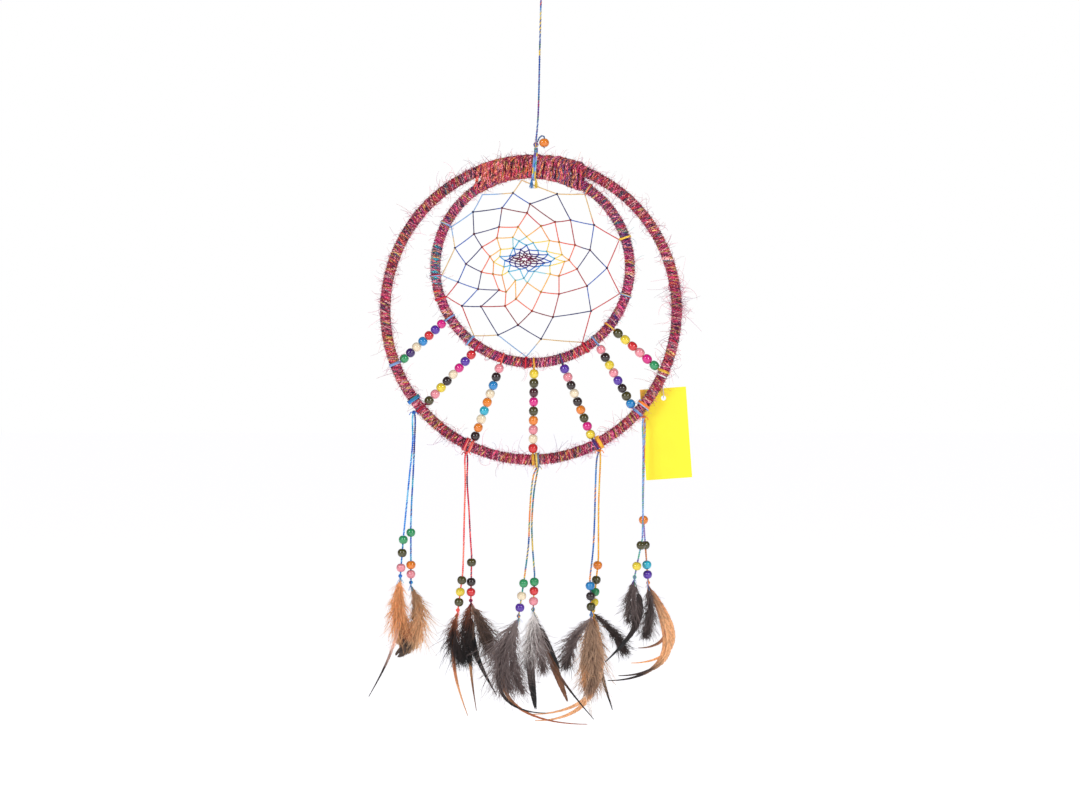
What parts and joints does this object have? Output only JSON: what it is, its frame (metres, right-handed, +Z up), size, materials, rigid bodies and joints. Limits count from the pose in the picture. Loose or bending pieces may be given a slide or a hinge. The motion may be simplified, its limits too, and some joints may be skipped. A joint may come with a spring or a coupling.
{
  "type": "dream catcher",
  "caption": "Yarn-wrapped double hoop with a woven thread web, threads of wooden beads and beaded feather pendants, hung by a cord.",
  "frame": {"origin": "inside top of the loop that goes over a nail or hook", "axes": "+Z up along the hanging cord, +X to the viewer's right, +Y away from the viewer, through the hoops"},
  "size_m": [0.2597, 0.0251, 0.595],
  "materials": {
    "variegated_cord": "twisted variegated thread",
    "orange_bead": "glossy lacquer",
    "cane": "plain",
    "crimson_yarn": "fuzzy silk yarn",
    "magenta_yarn": "fuzzy silk yarn",
    "olive_yarn": "silk yarn",
    "web_thread": "variegated thread",
    "yellow_card": "matt",
    "white_thread": "thread",
    "pendant_beads": "glossy lacquer",
    "feathers": "feather",
    "string_beads_1": "glossy lacquer",
    "string_beads_2": "glossy lacquer",
    "string_beads_3": "glossy lacquer",
    "string_beads_4": "glossy lacquer",
    "string_beads_5": "glossy lacquer",
    "string_beads_6": "glossy lacquer",
    "string_beads_7": "glossy lacquer",
    "blue_cord": "twisted thread",
    "coral_cord": "twisted thread",
    "teal_cord": "twisted thread",
    "orange_cord": "twisted thread",
    "light_blue_cord": "twisted thread"
  },
  "bodies": {
    "hanger": {"hang_loop": "variegated_cord"},
    "hang_line": {"hang_cord": "variegated_cord"},
    "knot": {"hang_knot": "variegated_cord", "hang_bead_strand": "variegated_cord"},
    "knot_bead": {"hang_bead": "orange_bead"},
    "hoops": {"hang_lashing": "variegated_cord", "outer_hoop_cane": "cane", "outer_hoop_wrap": "crimson_yarn", "inner_hoop_cane": "cane", "inner_hoop_wrap": "magenta_yarn", "top_binding": "olive_yarn", "web": "web_thread", "bead_thread_1": "string_beads_1", "bead_thread_2": "string_beads_2", "bead_thread_3": "string_beads_3", "bead_thread_4": "string_beads_4", "bead_thread_5": "string_beads_5", "bead_thread_6": "string_beads_6", "bead_thread_7": "string_beads_7", "tag_loop": "white_thread"},
    "pendant_1_loop": {"pendant_1_tie": "blue_cord"},
    "pendant_1": {"pendant_1_left_cord": "blue_cord", "pendant_1_left_beads": "pendant_beads", "pendant_1_left_feathers": "feathers", "pendant_1_right_cord": "blue_cord", "pendant_1_right_beads": "pendant_beads", "pendant_1_right_feathers": "feathers"},
    "pendant_2_loop": {"pendant_2_tie": "coral_cord"},
    "pendant_2": {"pendant_2_left_cord": "coral_cord", "pendant_2_left_beads": "pendant_beads", "pendant_2_left_feathers": "feathers", "pendant_2_right_cord": "coral_cord", "pendant_2_right_beads": "pendant_beads", "pendant_2_right_feathers": "feathers"},
    "pendant_3_loop": {"pendant_3_tie": "teal_cord"},
    "pendant_3": {"pendant_3_left_cord": "teal_cord", "pendant_3_left_beads": "pendant_beads", "pendant_3_left_feathers": "feathers", "pendant_3_right_cord": "teal_cord", "pendant_3_right_beads": "pendant_beads", "pendant_3_right_feathers": "feathers"},
    "pendant_4_loop": {"pendant_4_tie": "orange_cord"},
    "pendant_4": {"pendant_4_left_cord": "orange_cord", "pendant_4_left_beads": "pendant_beads", "pendant_4_left_feathers": "feathers", "pendant_4_right_cord": "orange_cord", "pendant_4_right_beads": "pendant_beads", "pendant_4_right_feathers": "feathers"},
    "pendant_5_loop": {"pendant_5_tie": "light_blue_cord"},
    "pendant_5": {"pendant_5_left_cord": "light_blue_cord", "pendant_5_left_beads": "pendant_beads", "pendant_5_left_feathers": "feathers", "pendant_5_right_cord": "light_blue_cord", "pendant_5_right_beads": "pendant_beads", "pendant_5_right_feathers": "feathers"},
    "tag_thread": {"tag_thread": "white_thread"},
    "tag": {"tag": "yellow_card"}
  },
  "joints": [
    {"name": "cord_swing", "type": "hinge", "parent": "hanger", "child": "hang_line", "pos_m": [0, 0, -0.015], "axis": [0, 1, 0], "range_deg": [-20, 20]},
    {"name": "hoop_turn", "type": "hinge", "parent": "hang_line", "child": "knot", "pos_m": [-0.004, 0, -0.1334], "axis": [0, 0, 1], "continuous": true},
    {"name": "hoop_tilt", "type": "hinge", "parent": "knot", "child": "hoops", "pos_m": [-0.004, 0, -0.1334], "axis": [1, 0, 0], "range_deg": [-15, 15]},
    {"name": "knot_bead_spin", "type": "hinge", "parent": "knot", "child": "knot_bead", "pos_m": [0.0025, 0, -0.1319], "axis": [0, 0, 1], "continuous": true},
    {"name": "pendant_1_swing", "type": "hinge", "parent": "hoops", "child": "pendant_1_loop", "pos_m": [-0.10173, 0, -0.33702], "axis": [0.5857, 0, -0.8105], "range_deg": [-30, 30]},
    {"name": "pendant_1_sway", "type": "hinge", "parent": "pendant_1_loop", "child": "pendant_1", "pos_m": [-0.10173, 0, -0.34848], "axis": [0, 1, 0], "range_deg": [-4, 4], "deforming": ["pendant_1_left_feathers", "pendant_1_right_feathers"]},
    {"name": "pendant_2_swing", "type": "hinge", "parent": "hoops", "child": "pendant_2_loop", "pos_m": [-0.05984, 0, -0.37295], "axis": [0.8914, 0, -0.4531], "range_deg": [-30, 30]},
    {"name": "pendant_2_sway", "type": "hinge", "parent": "pendant_2_loop", "child": "pendant_2", "pos_m": [-0.05984, 0, -0.38048], "axis": [0, 1, 0], "range_deg": [-4, 4], "deforming": ["pendant_2_left_feathers", "pendant_2_right_feathers"]},
    {"name": "pendant_3_swing", "type": "hinge", "parent": "hoops", "child": "pendant_3_loop", "pos_m": [-0.00291, 0, -0.38529], "axis": [0.999, 0, 0.0447], "range_deg": [-30, 30]},
    {"name": "pendant_3_sway", "type": "hinge", "parent": "pendant_3_loop", "child": "pendant_3", "pos_m": [-0.00291, 0, -0.39201], "axis": [0, 1, 0], "range_deg": [-4, 4], "deforming": ["pendant_3_left_feathers", "pendant_3_right_feathers"]},
    {"name": "pendant_4_swing", "type": "hinge", "parent": "hoops", "child": "pendant_4_loop", "pos_m": [0.04674, 0, -0.37142], "axis": [0.8783, 0, 0.4782], "range_deg": [-30, 30]},
    {"name": "pendant_4_sway", "type": "hinge", "parent": "pendant_4_loop", "child": "pendant_4", "pos_m": [0.04674, 0, -0.37907], "axis": [0, 1, 0], "range_deg": [-4, 4], "deforming": ["pendant_4_left_feathers", "pendant_4_right_feathers"]},
    {"name": "pendant_5_swing", "type": "hinge", "parent": "hoops", "child": "pendant_5_loop", "pos_m": [0.08223, 0, -0.34163], "axis": [0.6244, 0, 0.7811], "range_deg": [-30, 7]},
    {"name": "pendant_5_sway", "type": "hinge", "parent": "pendant_5_loop", "child": "pendant_5", "pos_m": [0.08223, 0, -0.35238], "axis": [0, 1, 0], "range_deg": [-4, 4], "deforming": ["pendant_5_left_feathers", "pendant_5_right_feathers"]},
    {"name": "tag_swing", "type": "hinge", "parent": "hoops", "child": "tag_thread", "pos_m": [0.0968, 0.00645, -0.31884], "axis": [1, 0, 0], "range_deg": [0, 40]},
    {"name": "tag_sway", "type": "hinge", "parent": "tag_thread", "child": "tag", "pos_m": [0.0984, 0.008, -0.33604], "axis": [0, 1, 0], "range_deg": [-10, 10]}
  ]
}
